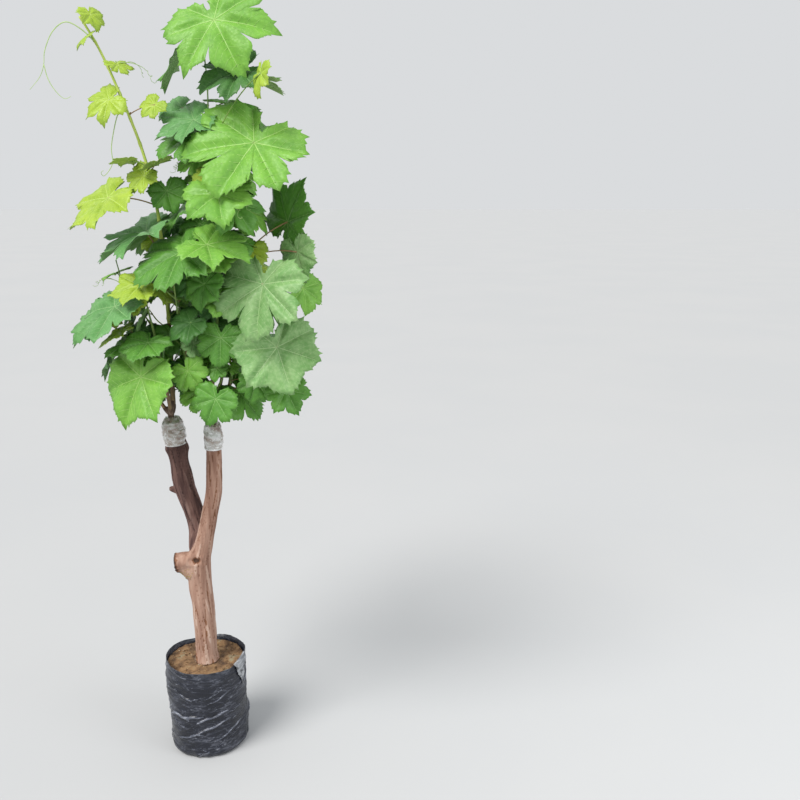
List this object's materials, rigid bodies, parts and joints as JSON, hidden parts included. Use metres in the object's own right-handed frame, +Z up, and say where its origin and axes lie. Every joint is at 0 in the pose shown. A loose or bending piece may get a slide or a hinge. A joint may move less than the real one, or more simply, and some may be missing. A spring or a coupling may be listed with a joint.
{
  "type": "grafted grapevine in a film grow bag",
  "caption": "Young leafy vine: an old forked trunk with a sawn stub, taped cleft grafts and lobed leaves, standing in a soil-filled film bag.",
  "frame": {"origin": "centre of the grow bag's flat underside", "axes": "+Z up along the trunk; +X to the right and +Y away for a viewer who has the sawn stub on the left"},
  "size_m": [0.5856, 0.4723, 1.7104],
  "materials": {
    "film": "semi-gloss black film, dusty",
    "soil": "matte",
    "bark": "rough",
    "dark_bark": "rough",
    "scion": "rough",
    "tape": "glossy, crumpled",
    "foliage": "satin"
  },
  "bodies": {
    "root": {"grow_bag": "film", "soil": "soil", "trunk": "bark", "left_arm": "dark_bark", "right_arm": "bark", "left_scion": "scion", "right_scion": "scion", "left_graft_tape": "tape", "right_graft_tape": "tape", "leader_shoot": "foliage", "left_outer_shoot": "foliage", "left_front_shoot": "foliage", "left_back_shoot": "foliage", "right_tall_shoot": "foliage", "upper_front_shoot": "foliage", "right_outer_shoot": "foliage", "right_back_shoot": "foliage", "front_shoot": "foliage"}
  },
  "joints": []
}
